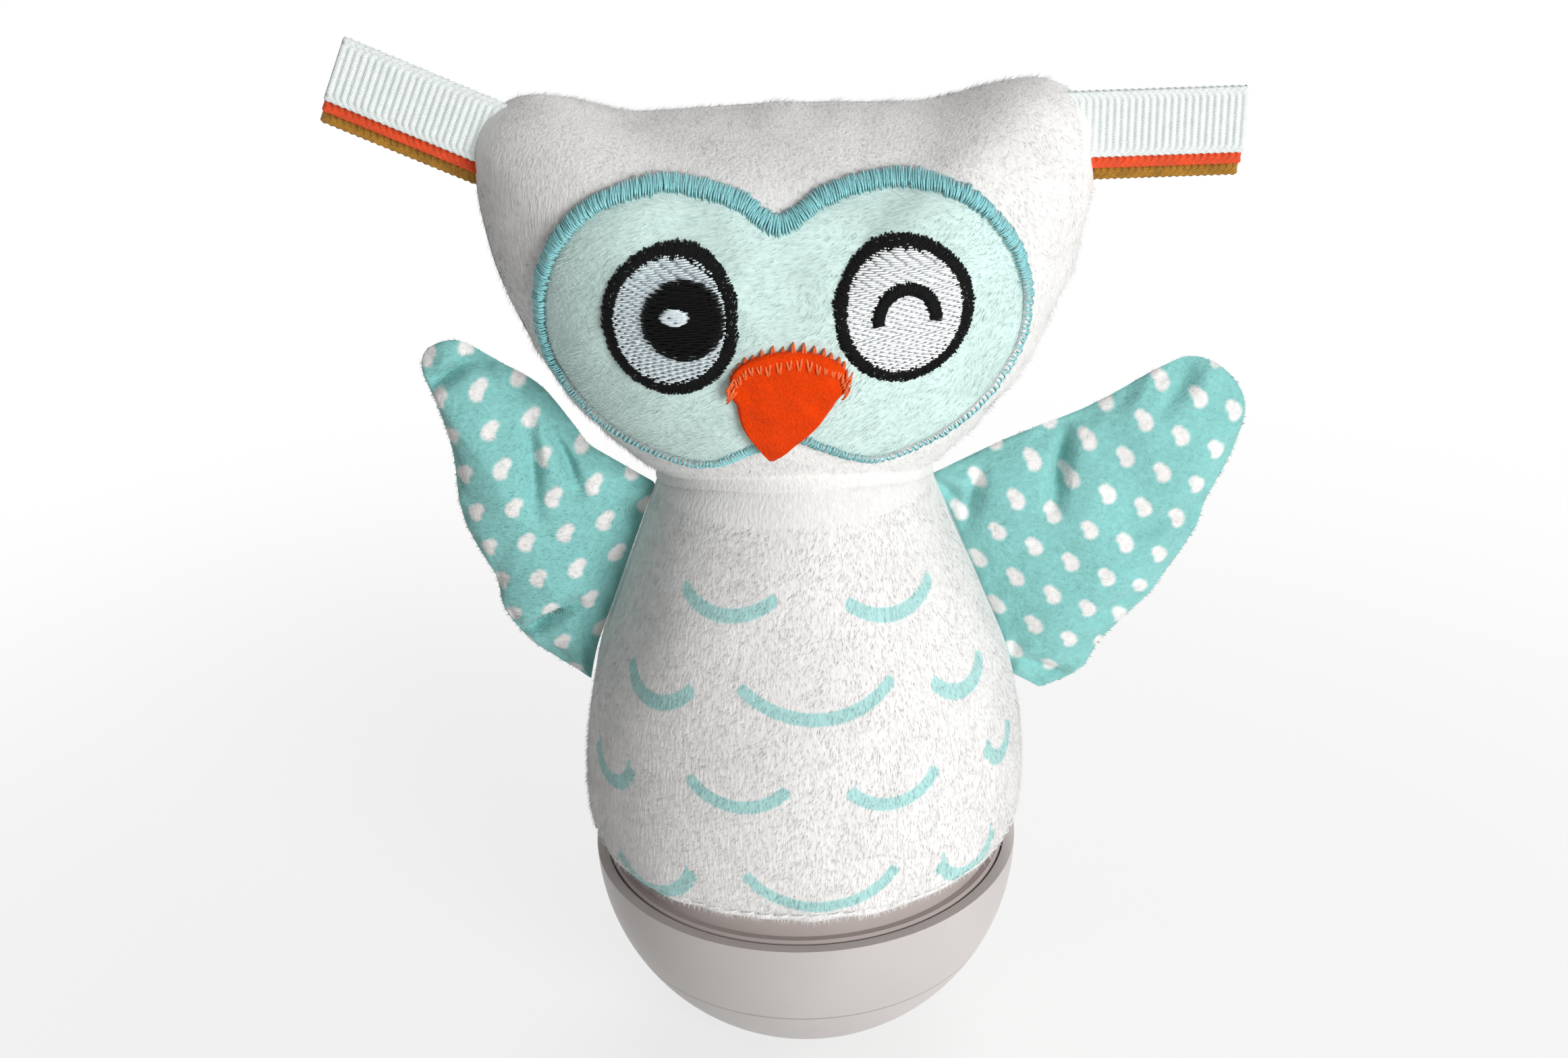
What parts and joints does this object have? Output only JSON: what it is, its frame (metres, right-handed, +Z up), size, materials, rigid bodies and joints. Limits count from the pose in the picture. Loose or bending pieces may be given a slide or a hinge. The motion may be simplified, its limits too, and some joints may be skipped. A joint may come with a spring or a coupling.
{
  "type": "roly-poly toy",
  "caption": "Stuffed plush owl on a weighted, ball-bottomed plastic base that rights itself, with soft wings, ribbon tags, a felt beak and a chime inside.",
  "frame": {"origin": "centre of the flat foot under the ball-shaped base", "axes": "+Z up, -Y out of the face, +X to the right as seen from the front"},
  "size_m": [0.16, 0.0836, 0.197],
  "materials": {
    "plush_white": "short pile plush",
    "plush_aqua": "short pile plush with printed dots",
    "patch_aqua": "short pile plush",
    "teal_thread": "satin stitch",
    "black_thread": "satin stitch",
    "silver_thread": "shiny satin stitch",
    "felt_orange": "felt",
    "orange_thread": "zigzag stitch",
    "ribbon_white": "ribbed ribbon",
    "ribbon_orange": "ribbed ribbon",
    "ribbon_gold": "ribbed ribbon with a sheen",
    "base_plastic": "satin moulded",
    "inner_plastic": "plain moulded",
    "ballast_iron": "as cast",
    "steel": "plain turned",
    "wadding": "loose fibre",
    "cord": "twisted cord"
  },
  "bodies": {
    "base": {"base_dish": "base_plastic", "base_band": "base_plastic", "collar": "base_plastic", "case_screws": "steel", "ballast": "ballast_iron", "chime_plate": "inner_plastic", "chime_rods": "steel", "chime_screws": "steel", "hammer_pin": "steel", "hem_cord": "cord", "body_front": "plush_white", "body_back": "plush_white", "body_wadding": "wadding"},
    "hammer": {"hammer": "steel"},
    "head": {"head_front": "plush_white", "head_back": "plush_white", "head_wadding": "wadding", "face_patch": "patch_aqua", "face_border": "teal_thread", "left_eye_ring": "black_thread", "left_eye_fill": "silver_thread", "left_eye_pupil": "black_thread", "left_eye_glint": "silver_thread", "right_eye_ring": "black_thread", "right_eye_fill": "silver_thread", "right_eye_wink": "black_thread", "beak_root": "felt_orange", "beak_stitches": "orange_thread"},
    "beak": {"beak_flap": "felt_orange"},
    "left_wing": {"left_wing_front": "plush_aqua", "left_wing_back": "plush_aqua", "left_wing_wadding": "wadding"},
    "right_wing": {"right_wing_front": "plush_aqua", "right_wing_back": "plush_aqua", "right_wing_wadding": "wadding"},
    "left_ribbons": {"left_ribbon_white": "ribbon_white", "left_ribbon_orange": "ribbon_orange", "left_ribbon_gold": "ribbon_gold"},
    "right_ribbons": {"right_ribbon_white": "ribbon_white", "right_ribbon_orange": "ribbon_orange", "right_ribbon_gold": "ribbon_gold"}
  },
  "joints": [
    {"name": "head_nod", "type": "hinge", "parent": "base", "child": "head", "pos_m": [0, 0, 0.10724], "axis": [1, 0, 0], "range_deg": [-12, 12], "stiffness_Nm_per_rad": 0.15},
    {"name": "beak_lift", "type": "hinge", "parent": "head", "child": "beak", "pos_m": [-0.0013, -0.03281, 0.14343], "axis": [-1, 0, 0], "range_deg": [0, 65], "stiffness_Nm_per_rad": 0.0002},
    {"name": "left_wing_flap", "type": "hinge", "parent": "base", "child": "left_wing", "pos_m": [-0.02601, 0, 0.1152], "axis": [0.3566, 0, 0.9342], "range_deg": [-40, 40], "stiffness_Nm_per_rad": 0.01},
    {"name": "right_wing_flap", "type": "hinge", "parent": "base", "child": "right_wing", "pos_m": [0.02601, 0, 0.1152], "axis": [-0.3343, 0, 0.9425], "range_deg": [-40, 40], "stiffness_Nm_per_rad": 0.01},
    {"name": "left_ribbons_flap", "type": "hinge", "parent": "head", "child": "left_ribbons", "pos_m": [-0.05192, 0, 0.1791], "axis": [0.4226, 0, 0.9063], "range_deg": [-20, 20], "stiffness_Nm_per_rad": 0.0005},
    {"name": "right_ribbons_flap", "type": "hinge", "parent": "head", "child": "right_ribbons", "pos_m": [0.05255, 0, 0.17593], "axis": [0, 0, 1], "range_deg": [-20, 20], "stiffness_Nm_per_rad": 0.0005},
    {"name": "chime_swing", "type": "hinge", "parent": "base", "child": "hammer", "pos_m": [0, 0, 0.035], "axis": [1, 0, 0], "range_deg": [-32, 32]}
  ]
}
